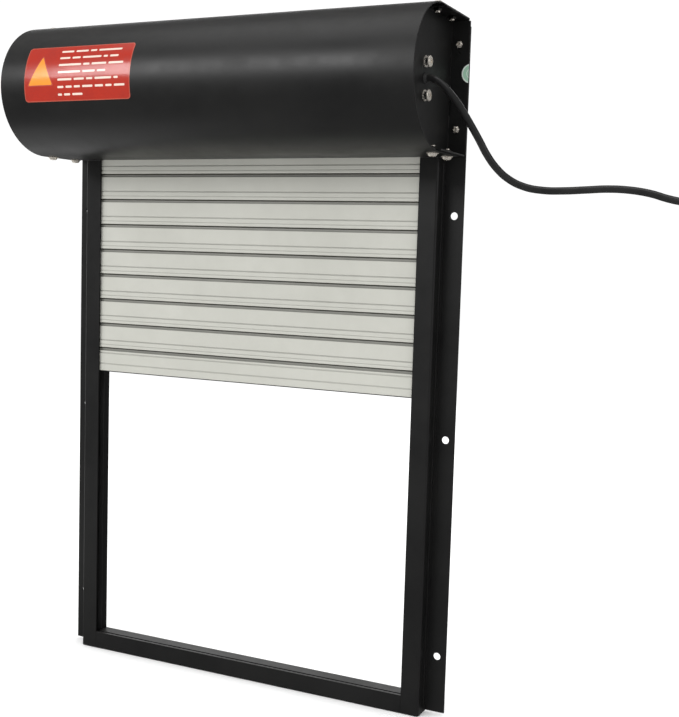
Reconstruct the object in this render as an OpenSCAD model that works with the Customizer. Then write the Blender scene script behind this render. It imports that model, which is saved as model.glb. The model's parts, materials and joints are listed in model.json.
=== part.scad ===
// Small motorised roller shutter door: a wall frame with two guide rails and a sill,
// a slatted curtain, and a half-round housing that holds the roll and a tubular motor.
// X runs to the right, Y into the wall (the wall is the plane Y = 0), Z up from the sill.

/* [Frame] */
// Overall width across the mounting flanges
door_w = 400; // [300:10:700]
// Height of the guide rails, from the bottom of the frame to the housing
frame_h = 483; // [420:1:900]
// Width of the mounting flange outside each rail
flange_w = 18; // [16:1:30]
// Thickness of the mounting flange
flange_t = 1.5; // [1:0.1:3]
// Height of the flange's bottom end above the frame's bottom
flange_lift = 1; // [0:0.5:5]
// Width of a rail's front face
rail_w = 17; // [16:1:30]
// Depth of the rails and sill, from the wall to the front face
rail_d = 17.5; // [16:0.5:24]
// Wall thickness of the extrusions
rail_wall = 1.3; // [1:0.1:2]
// Radius of a rail's outer front edge
rail_edge_r = 2; // [0.5:0.5:4]
// Depth of the groove line in a rail's outer side
side_groove = 0.6; // [0.2:0.1:1]
// Height of the sill bar
sill_h = 16; // [12:1:30]

/* [Wall holes] */
// Radius of a wall fixing hole
hole_r = 3.25; // [2:0.25:4.5]
// Distance of the wall holes from the flange's outer edge
hole_inset = 8.5; // [6:0.5:12]
// Height of the lowest wall hole
hole_z = 51; // [30:1:90]
// Spacing of the wall holes up the flange
hole_pitch = 192; // [120:1:200]

/* [Housing] */
// Height of the housing
housing_h = 116; // [112:1:160]
// Length of the flat part of the housing, from the wall to where the round front starts
housing_flat = 61.5; // [58:0.5:90]
// How far the cover's ends stay inside the flanges' outer edges
cover_inset = 2; // [0:0.5:5]
// Thickness of the cover's sheet
cover_t = 1.2; // [0.8:0.1:2]
// Length of the hook that folds down behind the flanges
hook_h = 7; // [4:0.5:12]
// Thickness of the end plates and back plate
plate_t = 1.5; // [1:0.1:2.5]
// Length of the lips that are bent out from the end plates
lip_w = 16; // [12:0.5:16]
// Distance of an end plate's outer face from the flange's outer edge
plate_inset = 16; // [15.5:0.5:18]

/* [Curtain] */
// Height of one slat, from joint to joint
slat_p = 24; // [22:0.5:26]
// Thickness of a slat
slat_t = 7; // [6:0.5:8]
// Height of the end slat
end_slat_h = 23; // [20:1:30]
// How far the curtain hangs below the housing in the stored position
curtain_drop = 203.6; // [200:0.1:212]
// Dark gap at a slat joint
joint_gap = 1.1; // [0.6:0.1:1.6]
// Height of the raised band along a slat's bottom
band_h = 6.6; // [5:0.1:8]
// Play between the slats and the liners
slat_play = 0.35; // [0.2:0.05:0.6]
// Thickness of the felt liners in the rails
liner_t = 0.6; // [0.4:0.1:1]

/* [Roll and motor] */
// Outer radius of the barrel
barrel_r = 22; // [20:0.5:22]
// Wall thickness of the barrel
barrel_wall = 1.2; // [0.8:0.1:2]
// Outer radius of the motor tube
motor_r = 16.5; // [13:0.5:17]
// Radius of the idler pin
pin_r = 6; // [4:0.5:8]
// Radial play of the running fits
run_play = 0.05; // [0.02:0.01:0.1]
// Distance of the motor screws above and below the axis
motor_screw_z = 13.3; // [12:0.1:15]
// Radius of the motor screws' heads
motor_head_r = 4.6; // [3.5:0.1:5.5]

/* [Cable] */
// Diameter of the cable
cable_d = 6; // [5:0.5:7]

/* [Hidden] */

$fn = 48;
eps = 0.01;                                   // overlap of cutting bodies
half_w = door_w / 2;
rail_out = half_w - flange_w;                 // outer side of a rail
rail_in = rail_out - rail_w;                  // inner side of a rail
black = [0.07, 0.07, 0.07];
felt_grey = [0.2, 0.2, 0.2];
slat_grey = [0.74, 0.74, 0.7];
steel = [0.72, 0.72, 0.72];

// curtain plane
front_wall = 1.5;                             // wall in front of the slot
slot_front = rail_d - front_wall;             // front of the slot, from the wall
slat_front = slot_front - liner_t - slat_play;
slat_rear = slat_front - slat_t;
slot_rear = slat_rear - slat_play - liner_t;
slot_depth = 14;                              // how far the slot reaches into a rail
slat_side_play = 3.5;                         // from a slat's end to the slot's bottom
slat_half = rail_in + slot_depth - slat_side_play;
liner_w = 5;                                  // width of a liner strip
liner_set = 0.5;                              // liners sit back from the rail's inner side

// housing
cover_w = door_w - 2 * cover_inset;
top_z = frame_h + housing_h;
round_r = housing_h / 2;
axis_z = frame_h + round_r;
plate_out = half_w - plate_inset;             // outer face of an end plate
plate_in = plate_out - plate_t;
plate_gap = 0.1;                              // end plates sit this far inside the cover
cover_low_y = rail_d + 1.5;                   // where the cover stops in front of the rails
corner_cut = 3;                               // the cover is open this far from the wall
back_front = flange_t + plate_t;              // front of the back plate, from the wall
hook_gap = 0.3;
flange_top = top_z - hook_h - hook_gap;
lip_far = housing_flat - 1;                   // the lips reach this far from the wall
lip_near = 5;
lip_screw_y = [lip_far - 4.5, cover_low_y + 4];    // lip screws, from the wall
lip_screw_x = plate_out + 7;
screw_r = 2;                                  // shank of every small screw
screw_play = 0.15;
pan_r = 3.9;
pan_h = 2;
lip_head_h = 3;                               // height of the cover screws' heads
nut_r = 3.6;
nut_h = 2.4;
hex_head_r = 3;                               // heads of the flange screws
flange_fix_z = [axis_z + 36, axis_z - 34];    // flange screws in the housing
flange_fix_x = lip_screw_x;
pilot_r = 0.8;
bend_slot_z = axis_z - 22;
bend_slot_h = 12;

// slats
seen_slats = 8;                               // slats in sight, one node each
hidden_slats = 2;                             // straight slats inside the housing
ledge_h = 2.2;                                // visible top ledge of a slat
ledge_set = 2.0;                              // the ledge sits this far behind the band
face_set = 0.3;                               // the main face sits behind the band
groove_h = 1;
groove_d = 0.8;
line_z = 2.6;                                 // shallow line in the band
line_h = 0.6;
line_d = 0.4;
band_round = 0.8;
tongue_t = 1.4;
tongue_h = 3.2;
tongue_play = 0.5;
channel_h = 4.2;
slat_core = 1.2;                              // wall around a slat's hollow
body_h = slat_p - joint_gap;
curtain_z = frame_h - curtain_drop;
first_slat_z = curtain_z + end_slat_h;

// roll
axis_y = 61;                                  // barrel axis, from the wall
strap_t = 0.4;
roll_play = 0.3;
roll_1 = barrel_r + strap_t + roll_play + slat_t / 2;
turn_1 = 2 * atan(slat_p / 2 / roll_1);
corner_1 = norm([roll_1 + slat_t / 2, body_h / 2]);
roll_2 = corner_1 + roll_play + slat_t / 2;
turn_2 = 2 * atan(slat_p / 2 / roll_2);
count_1 = 7;                                  // slats in the inner turn
count_2 = 4;                                  // slats in the outer turn
roll_end = 278;                               // angle where the curtain leaves the roll
inner_start = roll_end + (count_2 - 0.5) * turn_2 + turn_1 / 2;
strap_at = inner_start + (count_1 - 1) * turn_1;
barrel_in = barrel_r - barrel_wall;
barrel_left = -(plate_in - 12);
barrel_right = plate_in - 10;

// motor, measured back from the right end plate's inner face
head_len = 22;
head_flange = 4;
head_flange_r = 19;
tube_len = 118;
tube_wall = 1;
cap_len = 4;
gearbox_len = 44;
can_len = 50;
shaft_r = 5;
wheel_len = 14;
wheel_gap = 3;
crown_len = 12;
crown_gap = 4;
tube_right = plate_in - head_len;
tube_left = tube_right - tube_len;
wheel_right = tube_left - wheel_gap;
washer_h = 1;
bush_r = 3;
bush_h = 2.4;
head_h = 2;

// idler
bearing_len = 8;
bearing_r = 13;
cap_plug = 20;
pin_gap = 1.5;
rivet_r = 1.6;
rivet_circle = 9.5;

// cable: route from the end plate to the wall socket
route = [
    [186.5, -61, 541], [189, -61, 541], [193, -61, 539.5], [198, -60, 536], [204, -59, 530],
    [210, -57, 522.5], [216, -55, 513.5], [222, -53, 503.5], [228, -51, 493], [234, -49, 482],
    [241, -46, 472], [250, -42, 463.5], [262, -38, 457.5], [276, -33, 455], [292, -28, 455],
    [308, -24, 456], [324, -20, 457], [340, -16, 456.5], [356, -14, 454], [370, -13, 450],
    [380, -13, 448], [388, -13, 447], [394, -13, 447]
];
cable_sides = 10;
grommet_r = 5.2;
grommet_h = 2.5;
socket_z = 447;
socket_y = 13;
plug_x = 394;
plug_len = 16;
plug_r = 6;
socket_d = 22;
socket_h = 30;
socket_w = 26;
socket_bore = 5;

// plates on the cover
notice_w = 112.5;
notice_low = -16;
notice_high = 33;
notice_t = 0.2;
notice_x = -cover_w / 2 + 27;
dot_r = 8;
dot_t = 0.2;
dot_past = 2;                                 // the dot's centre lies past the flange's edge
dot_z = axis_z + 12;

// ---------- helpers ----------

// A shape drawn in Y and Z, extruded along X from x0 to x1
module along_x(x0, x1) {
    translate([x0, 0, 0])
        rotate([90, 0, 90])
            linear_extrude(height = x1 - x0)
                children();
}

// A round bar along X
module bar_x(x0, x1, r) {
    translate([x0, -axis_y, axis_z])
        rotate([0, 90, 0])
            cylinder(h = x1 - x0, r = r);
}

// A tube along X
module tube_x(x0, x1, r_out, r_in) {
    difference() {
        bar_x(x0, x1, r_out);
        bar_x(x0 - 1, x1 + 1, r_in);
    }
}

// A copy on each side
module both_sides() {
    children();
    mirror([1, 0, 0])
        children();
}

// Housing outline, set in by i
module housing_outline(i) {
    translate([-housing_flat, frame_h + i])
        square([housing_flat, housing_h - 2 * i]);
    translate([-housing_flat, axis_z])
        circle(r = round_r - i, $fn = 96);
}

// Domed screw head with its flat side on z = 0
module pan_head(r, h) {
    rotate_extrude()
        polygon([
            [0, 0], [r, 0], [r, h * 0.35], [r * 0.9, h * 0.7], [r * 0.65, h * 0.93], [0, h]
        ]);
}

// ---------- frame ----------

module rail_section() {
    difference() {
        union() {
            translate([rail_in, -rail_d])
                square([rail_w - rail_edge_r, rail_d]);
            translate([rail_in, -rail_d + rail_edge_r])
                square([rail_w, rail_d - rail_edge_r]);
            translate([rail_out - rail_edge_r, -rail_d + rail_edge_r])
                circle(r = rail_edge_r);
        }
        // slot for the slats
        translate([rail_in - eps, -slot_front])
            square([slot_depth + eps, slot_front - slot_rear]);
        // rear chamber
        translate([rail_in + rail_wall, -slot_rear + rail_wall])
            square([rail_w - 2 * rail_wall, slot_rear - 2 * rail_wall]);
        // groove line down the outer side
        translate([rail_out - side_groove, -slot_rear + rail_wall])
            square([side_groove + eps, rail_wall]);
    }
}

module rail() {
    difference() {
        union() {
            linear_extrude(height = frame_h)
                rail_section();
            translate([rail_out - eps, -flange_t, flange_lift])
                cube([flange_w + eps, flange_t, flange_top - flange_lift]);
        }
        for (k = [0:2])
            translate([half_w - hole_inset, eps, hole_z + k * hole_pitch])
                rotate([90, 0, 0])
                    cylinder(h = flange_t + 2 * eps, r = hole_r);
        for (z = flange_fix_z)
            translate([flange_fix_x, eps, z])
                rotate([90, 0, 0])
                    cylinder(h = flange_t + 2 * eps, r = screw_r + screw_play);
    }
}

module right_rail() {
    color(black)
        rail();
}

module left_rail() {
    color(black)
        mirror([1, 0, 0])
            rail();
}

module rail_liner() {
    for (y = [-slot_front, -slot_rear - liner_t])
        translate([rail_in + liner_set, y, sill_h])
            cube([liner_w, liner_t, frame_h - sill_h]);
}

module right_rail_liner() {
    color(felt_grey)
        rail_liner();
}

module left_rail_liner() {
    color(felt_grey)
        mirror([1, 0, 0])
            rail_liner();
}

sill_lip = 3;                                 // front lip of the sill's top
sill_groove_w = 2;
sill_groove_d = 2;
key_play = 0.2;
key_len = 12;

module sill_bar() {
    color(black)
        along_x(-rail_in, rail_in)
            difference() {
                translate([-rail_d, 0])
                    square([rail_d, sill_h]);
                // groove along the top
                translate([-rail_d + sill_lip, sill_h - sill_groove_d])
                    square([sill_groove_w, sill_groove_d + eps]);
                // chamber that the corner keys fill
                translate([-rail_d + rail_wall, rail_wall])
                    square([rail_d - 2 * rail_wall, sill_h - sill_groove_d - 2 * rail_wall]);
            }
}

// Keys that join the sill to the rails inside the extrusions
module corner_keys() {
    color(felt_grey)
        both_sides()
            difference() {
                translate([rail_in - key_len, -slot_front, rail_wall + key_play])
                    cube([
                        key_len + slot_depth - key_play,
                        slot_front - slot_rear,
                        sill_h - sill_groove_d - 2 * rail_wall - 2 * key_play
                    ]);
                translate([rail_in - key_len / 2, -(slot_front + slot_rear) / 2, 0])
                    cylinder(h = sill_h, r = screw_r);
            }
}

// ---------- housing ----------

module cover_shell() {
    color(black)
        difference() {
            union() {
                along_x(-cover_w / 2, cover_w / 2)
                    difference() {
                        housing_outline(0);
                        housing_outline(cover_t);
                        translate([-corner_cut, frame_h - eps])
                            square([corner_cut + eps, housing_h - cover_t + eps]);
                    }
                // hook behind the flanges, with a round fold at its top
                along_x(-cover_w / 2, cover_w / 2)
                    difference() {
                        translate([-cover_t, top_z - hook_h])
                            square([cover_t, hook_h]);
                        translate([-cover_t + eps, top_z - cover_t + eps])
                            difference() {
                                square([cover_t, cover_t]);
                                circle(r = cover_t);
                            }
                    }
            }
            // gap for the rails and the curtain
            translate([-cover_w / 2 - 1, -cover_low_y, frame_h - 1])
                cube([cover_w + 2, cover_low_y + 1, cover_t + 2]);
            both_sides()
                for (y = lip_screw_y)
                    translate([lip_screw_x, -y, frame_h - 1])
                        cylinder(h = housing_h + 2, r = screw_r + screw_play);
        }
}

module end_plate() {
    lip_top = top_z - cover_t - plate_gap;
    lip_bottom = frame_h + cover_t + plate_gap;
    difference() {
        union() {
            along_x(plate_in, plate_out)
                difference() {
                    housing_outline(cover_t + plate_gap);
                    translate([-flange_t, frame_h - eps])
                        square([flange_t + eps, housing_h + 2 * eps]);
                }
            // lips along the top and the bottom
            for (z = [lip_top - plate_t, lip_bottom])
                translate([plate_out - eps, -lip_far, z])
                    cube([lip_w + eps, lip_far - lip_near, plate_t]);
            // flange against the wall flange
            translate([plate_out - eps, -back_front, lip_bottom + plate_t])
                cube([lip_w + eps, plate_t, lip_top - lip_bottom - 2 * plate_t]);
        }
        for (y = lip_screw_y)
            translate([lip_screw_x, -y, frame_h - 1])
                cylinder(h = housing_h + 2, r = screw_r + screw_play);
        for (z = flange_fix_z)
            translate([flange_fix_x, eps, z])
                rotate([90, 0, 0])
                    cylinder(h = back_front + 1, r = screw_r + screw_play);
        // pilot hole below the upper flange screw
        translate([flange_fix_x + 0.3, eps, flange_fix_z[0] - 7])
            rotate([90, 0, 0])
                cylinder(h = back_front + 1, r = pilot_r);
        // relief slot in the bend
        translate([plate_out - plate_t / 2, -back_front - plate_t / 2, bend_slot_z])
            cube([plate_t, plate_t, bend_slot_h]);
    }
}

module right_end_plate() {
    color(black)
        difference() {
            end_plate();
            for (s = [-1, 1])
                translate([plate_in - 1, -axis_y, axis_z + s * motor_screw_z])
                    rotate([0, 90, 0])
                        cylinder(h = plate_t + 2, r = screw_r + screw_play);
            bar_x(plate_in - 1, plate_out + 1, grommet_r - 1);
        }
}

module left_end_plate() {
    color(black)
        difference() {
            mirror([1, 0, 0])
                end_plate();
            for (s = [-1, 1])
                translate([-plate_out - 1, -axis_y, axis_z + s * rivet_circle])
                    rotate([0, 90, 0])
                        cylinder(h = plate_t + 2, r = rivet_r + screw_play);
        }
}

module back_plate() {
    color(black)
        translate([-plate_in, -back_front, frame_h])
            cube([2 * plate_in, plate_t, housing_h - cover_t - plate_gap]);
}

module cover_screws() {
    color(steel)
        both_sides()
            for (y = lip_screw_y) {
                translate([lip_screw_x, -y, frame_h]) {
                    mirror([0, 0, 1])
                        pan_head(pan_r, lip_head_h);
                    cylinder(h = cover_t + plate_t + nut_h + 1, r = screw_r);
                }
                translate([lip_screw_x, -y, top_z]) {
                    pan_head(pan_r, lip_head_h);
                    mirror([0, 0, 1])
                        cylinder(h = cover_t + plate_t + nut_h + 1, r = screw_r);
                }
            }
}

module cover_nuts() {
    color(steel)
        both_sides()
            for (y = lip_screw_y)
                for (z = [frame_h + cover_t + plate_gap + plate_t,
                          top_z - cover_t - plate_gap - plate_t - nut_h])
                    translate([lip_screw_x, -y, z])
                        difference() {
                            cylinder(h = nut_h, r = nut_r, $fn = 6);
                            translate([0, 0, -1])
                                cylinder(h = nut_h + 2, r = screw_r);
                        }
}

module flange_screws() {
    color(steel)
        both_sides()
            for (z = flange_fix_z)
                translate([flange_fix_x, -back_front, z])
                    rotate([90, 0, 0]) {
                        cylinder(h = nut_h * 0.6, r = hex_head_r, $fn = 6);
                        translate([0, 0, nut_h * 0.6])
                            pan_head(hex_head_r * 0.75, nut_h * 0.6);
                        translate([0, 0, -back_front])
                            cylinder(h = back_front + eps, r = screw_r);
                    }
}

mouth_h = 20;                                 // guide mouths above the rails
mouth_front = 25;
mouth_wall = 1.5;
mouth_foot = cover_t + 0.3;

// Flared mouth that leads the slats from the roll into a rail
module guide_mouth() {
    mouth_x = plate_in - mouth_wall;
    color(felt_grey)
        along_x(rail_in + liner_set, mouth_x)
            polygon([
                [-slot_front - mouth_wall, frame_h],
                [-slot_front, frame_h],
                [-slot_front, frame_h + mouth_h / 3],
                [-mouth_front + mouth_wall, frame_h + mouth_h],
                [-mouth_front, frame_h + mouth_h],
                [-mouth_front, frame_h + mouth_h * 0.8],
                [-slot_front - mouth_wall, frame_h + mouth_h / 3]
            ]);
    color(felt_grey)
        translate([mouth_x - mouth_wall, -slot_front - mouth_wall, frame_h])
            cube([mouth_wall, slot_front + mouth_wall - back_front, mouth_h / 3]);
}

module right_guide_mouth() {
    guide_mouth();
}

module left_guide_mouth() {
    mirror([1, 0, 0])
        guide_mouth();
}

// ---------- curtain ----------

// One slat's section: front to the left, its bottom edge on z = 0
module slat_section() {
    difference() {
        union() {
            // raised band along the bottom, with a rounded lower edge
            translate([-slat_front, band_round])
                square([slat_t, band_h - band_round]);
            translate([-slat_front + band_round, 0])
                square([slat_t - band_round, band_h]);
            translate([-slat_front + band_round, band_round])
                circle(r = band_round);
            // main face
            translate([-slat_front + face_set, band_h - eps])
                square([slat_t - face_set, body_h - ledge_h - band_h + eps]);
            // ledge and tongue
            translate([-slat_front + ledge_set, body_h - ledge_h - eps])
                square([slat_t - ledge_set, ledge_h + eps]);
            translate([-(slat_front + slat_rear) / 2 - tongue_t / 2, body_h - eps])
                square([tongue_t, joint_gap + tongue_h]);
        }
        // groove above the band
        translate([-slat_front - eps, band_h])
            square([groove_d, groove_h]);
        translate([-slat_front - eps, line_z])
            square([line_d, line_h]);
        // channel that takes the tongue of the slat below
        translate([-(slat_front + slat_rear) / 2 - tongue_t / 2 - tongue_play, -eps])
            square([tongue_t + 2 * tongue_play, channel_h]);
        // hollow
        translate([-slat_front + slat_core + face_set, band_h + 1])
            square([slat_t - 2 * slat_core - face_set, body_h - ledge_h - band_h - 2]);
    }
}

module slat(k) {
    color(slat_grey)
        translate([0, 0, first_slat_z + (k - 1) * slat_p])
            along_x(-slat_half, slat_half)
                slat_section();
}

module hidden_slats_group() {
    for (k = [1:hidden_slats])
        slat(seen_slats + k);
}

seal_w = 3;
seal_h = 4;
seal_out = 1;
rib_h = 1.2;
rib_d = 0.5;
rib_z = [6.3, 16.8];
plug_wall = 4;
lock_len = 6;

module end_slat_section() {
    difference() {
        union() {
            translate([-slat_front, band_round])
                square([slat_t, end_slat_h - joint_gap - ledge_h - band_round]);
            translate([-slat_front + band_round, 0])
                square([slat_t - band_round, band_round + eps]);
            translate([-slat_front + band_round, band_round])
                circle(r = band_round);
            translate([-slat_front + ledge_set, end_slat_h - joint_gap - ledge_h - eps])
                square([slat_t - ledge_set, ledge_h + eps]);
            translate([-(slat_front + slat_rear) / 2 - tongue_t / 2, end_slat_h - joint_gap - eps])
                square([tongue_t, joint_gap + tongue_h]);
        }
        // two grooves along the front
        for (z = rib_z)
            translate([-slat_front - eps, z])
                square([rib_d, rib_h]);
        // pocket for the seal
        translate([-(slat_front + slat_rear) / 2 - seal_w / 2, -eps])
            square([seal_w, seal_h - seal_out]);
        // hollow
        translate([-slat_rear - slat_t + slat_core + rib_d, seal_h + 1])
            square([slat_t - 2 * slat_core - rib_d, end_slat_h - joint_gap - ledge_h - seal_h - 3]);
    }
}

module end_slat() {
    color(slat_grey)
        translate([0, 0, curtain_z])
            along_x(-slat_half, slat_half)
                end_slat_section();
}

module end_slat_seal() {
    color(black)
        along_x(-rail_in + 1, rail_in - 1)
            translate([-(slat_front + slat_rear) / 2 - seal_w / 2, curtain_z - seal_out])
                square([seal_w, seal_h - 2 * eps]);
}

// Plastic end plugs of the end slat
module end_slat_plugs() {
    color(black)
        both_sides()
            translate([slat_half, -slat_front, curtain_z])
                cube([slat_side_play / 2, slat_t, end_slat_h - joint_gap - ledge_h]);
}

// Plastic locks on the ends of every second slat, which stop it from sliding sideways
module slat_end_locks() {
    color(black)
        both_sides()
            for (k = [1:2:seen_slats + hidden_slats])
                translate([slat_half, -slat_front + face_set, first_slat_z + (k - 1) * slat_p + band_h])
                    cube([slat_side_play / 2, slat_t - face_set, lock_len]);
}

// ---------- roll ----------

// A slat on the roll, centred at angle a and radius r, with its joints turned by t
module wound_slat(a, r, t) {
    r_low = r - slat_t / 2;
    low = r_low * tan(t / 2) - joint_gap / 2;
    half = body_h / 2;
    translate([0, -axis_y, axis_z])
        rotate([a, 0, 0])
            along_x(-slat_half, slat_half)
                difference() {
                    polygon([
                        [-low, r_low], [low, r_low], [half, r], [half, r + slat_t / 2],
                        [-half, r + slat_t / 2], [-half, r]
                    ]);
                    translate([-low + slat_core, r_low + slat_core])
                        square([2 * (low - slat_core), slat_t - 2 * slat_core]);
                    translate([half - band_h - groove_h, r + slat_t / 2 - groove_d / 2])
                        square([groove_h, groove_d]);
                }
}

module wound_slats() {
    color(slat_grey) {
        for (k = [0:count_1 - 1])
            wound_slat(inner_start + k * turn_1, roll_1, turn_1);
        for (k = [0:count_2 - 1])
            wound_slat(roll_end + k * turn_2, roll_2, turn_2);
    }
}

strap_x = [-110, 0, 110];
strap_w = 20;
strap_angle = 60;

// Position of the rivets that hold the straps
module at_strap_rivets() {
    for (x = strap_x)
        translate([x, -axis_y, axis_z])
            rotate([strap_at, 0, 0])
                translate([0, 0, barrel_in - 1])
                    children();
}

// Steel straps that tie the innermost slat to the barrel
module roll_straps() {
    color(steel)
        difference() {
            for (x = strap_x)
                translate([x - strap_w / 2, -axis_y, axis_z])
                    rotate([0, 90, 0])
                        rotate([0, 0, strap_at + 180 - strap_angle / 2])
                            rotate_extrude(angle = strap_angle)
                                translate([barrel_r, 0])
                                    square([strap_t, strap_w]);
            at_strap_rivets()
                cylinder(h = barrel_wall + strap_t + 2, r = screw_r);
        }
}

module strap_rivets() {
    color(steel)
        at_strap_rivets()
            cylinder(h = barrel_wall + strap_t + 1, r = screw_r);
}

module barrel_tube() {
    color(steel)
        difference() {
            tube_x(barrel_left, barrel_right, barrel_r, barrel_in);
            at_strap_rivets()
                cylinder(h = barrel_wall + 2, r = screw_r);
        }
}

module drive_wheel() {
    color(felt_grey)
        tube_x(wheel_right - wheel_len, wheel_right, barrel_in, shaft_r);
}

module output_shaft() {
    color(steel)
        bar_x(wheel_right - wheel_len, tube_left + cap_len, shaft_r);
}

module limit_crown() {
    color(felt_grey)
        tube_x(tube_right + crown_gap, tube_right + crown_gap + crown_len, barrel_in, motor_r + run_play);
}

module idler_cap() {
    color(felt_grey)
        tube_x(barrel_left, barrel_left + cap_plug, barrel_in, pin_r);
}

module idler_pin() {
    color(steel)
        bar_x(-plate_in + pin_gap, barrel_left + cap_plug, pin_r);
}

module idler_bearing() {
    color(felt_grey)
        difference() {
            tube_x(-plate_in, -plate_in + bearing_len, bearing_r, pin_r + run_play);
            for (s = [-1, 1])
                translate([-plate_in - 1, -axis_y, axis_z + s * rivet_circle])
                    rotate([0, 90, 0])
                        cylinder(h = bearing_len + 2, r = rivet_r);
        }
}

module bearing_rivets() {
    color(steel)
        for (s = [-1, 1])
            translate([-plate_out, -axis_y, axis_z + s * rivet_circle]) {
                rotate([0, 90, 0])
                    cylinder(h = plate_t + bearing_len, r = rivet_r);
                rotate([0, -90, 0])
                    pan_head(2 * rivet_r, rivet_r);
            }
}

// ---------- motor ----------

module motor_head() {
    color(black)
        difference() {
            union() {
                bar_x(tube_right, plate_in, motor_r);
                bar_x(plate_in - head_flange, plate_in, head_flange_r);
            }
            for (s = [-1, 1])
                translate([plate_in - head_len / 2, -axis_y, axis_z + s * motor_screw_z])
                    rotate([0, 90, 0])
                        cylinder(h = head_len, r = screw_r);
            bar_x(plate_in - head_len / 2, plate_in + 1, cable_d / 2 + 1);
        }
}

module motor_tube() {
    color(steel)
        tube_x(tube_left, tube_right, motor_r, motor_r - tube_wall);
}

module motor_end_cap() {
    color(black)
        tube_x(tube_left, tube_left + cap_len, motor_r - tube_wall, shaft_r + run_play);
}

module motor_gearbox() {
    color(felt_grey)
        bar_x(tube_left + cap_len + 1, tube_left + cap_len + gearbox_len, motor_r - tube_wall);
}

module motor_can() {
    color(steel)
        bar_x(tube_left + cap_len + gearbox_len, tube_left + cap_len + gearbox_len + can_len,
              motor_r - tube_wall - 1);
}

// Position of the two motor screws on the right end plate
module at_motor_screws() {
    for (s = [-1, 1])
        translate([plate_out, -axis_y, axis_z + s * motor_screw_z])
            rotate([0, 90, 0])
                children();
}

module motor_washers() {
    color(steel)
        at_motor_screws()
            difference() {
                cylinder(h = washer_h, r = motor_head_r);
                translate([0, 0, -1])
                    cylinder(h = washer_h + 2, r = screw_r + screw_play);
            }
}

module motor_bushes() {
    color(black)
        at_motor_screws()
            translate([0, 0, washer_h])
                difference() {
                    cylinder(h = bush_h, r = bush_r);
                    translate([0, 0, -1])
                        cylinder(h = bush_h + 2, r = screw_r + screw_play);
                }
}

module motor_screws() {
    color(steel)
        at_motor_screws() {
            translate([0, 0, washer_h + bush_h])
                pan_head(motor_head_r, head_h);
            translate([0, 0, -plate_t - head_len / 2 + 1])
                cylinder(h = plate_t + head_len / 2 + washer_h + bush_h - 1 + eps, r = screw_r);
        }
}

// ---------- cable ----------

module cable_grommet() {
    color(black) {
        bar_x(plate_in, plate_out, grommet_r - 1);
        bar_x(plate_out, plate_out + grommet_h, grommet_r);
    }
}

// Direction of the route at point i
function heading(i) = let(
    a = route[max(i - 1, 0)],
    b = route[min(i + 1, len(route) - 1)]
) (b - a) / norm(b - a);

// Ring of points around point i
function ring(i) = let(
    d = heading(i),
    u = cross(d, [0, 1, 0]) / norm(cross(d, [0, 1, 0])),
    v = cross(d, u)
) [
    for (k = [0:cable_sides - 1])
        route[i] + cable_d / 2 * (cos(360 * k / cable_sides) * u + sin(360 * k / cable_sides) * v)
];

module cable() {
    last = len(route) - 1;
    n = cable_sides;
    color(black)
        polyhedron(
            points = [for (i = [0:last]) each ring(i)],
            faces = concat(
                [[for (k = [0:n - 1]) n - 1 - k]],
                [for (i = [0:last - 1]) for (k = [0:n - 1])
                    [i * n + k, i * n + (k + 1) % n, (i + 1) * n + (k + 1) % n, (i + 1) * n + k]],
                [[for (k = [0:n - 1]) last * n + k]]
            )
        );
}

module cable_plug() {
    color(black)
        translate([plug_x, -socket_y, socket_z])
            rotate([0, 90, 0]) {
                cylinder(h = plug_len, r = plug_r);
                translate([0, 0, plug_len])
                    cylinder(h = plug_len / 2, r = socket_bore - run_play);
            }
}

module wall_socket() {
    color(black)
        difference() {
            translate([plug_x + plug_len, -socket_d, socket_z - socket_h / 2])
                cube([socket_w, socket_d, socket_h]);
            translate([plug_x + plug_len - 1, -socket_y, socket_z])
                rotate([0, 90, 0])
                    cylinder(h = plug_len / 2 + 2, r = socket_bore);
            at_socket_screws()
                cylinder(h = socket_d + 2, r = screw_r);
        }
}

module at_socket_screws() {
    for (s = [-1, 1])
        translate([plug_x + plug_len + socket_w * 0.7, -socket_d - 1, socket_z + s * socket_h / 3])
            rotate([-90, 0, 0])
                children();
}

module socket_screws() {
    color(steel)
        at_socket_screws() {
            translate([0, 0, 1])
                cylinder(h = socket_d - 1, r = screw_r);
            translate([0, 0, 1])
                mirror([0, 0, 1])
                    pan_head(pan_r, pan_h);
        }
}

// ---------- plates and dots ----------

// Notice plate that follows the cover's round front
module notice_plate() {
    color([0.75, 0.16, 0.1])
        translate([notice_x, -housing_flat, axis_z])
            rotate([0, 90, 0])
                rotate([0, 0, -90 - notice_high])
                    rotate_extrude(angle = notice_high - notice_low, $fn = 96)
                        translate([round_r, 0])
                            square([notice_t, notice_w]);
}

// Half of a round dot, which is folded over the flange's edge
module inspection_dot() {
    color([0.72, 0.82, 0.74])
        intersection() {
            translate([plate_out + lip_w + dot_past, -back_front, dot_z])
                rotate([90, 0, 0])
                    cylinder(h = dot_t, r = dot_r);
            translate([plate_out, -back_front - 1, dot_z - dot_r])
                cube([lip_w, 2, 2 * dot_r]);
        }
}

// ---------- nodes ----------

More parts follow.
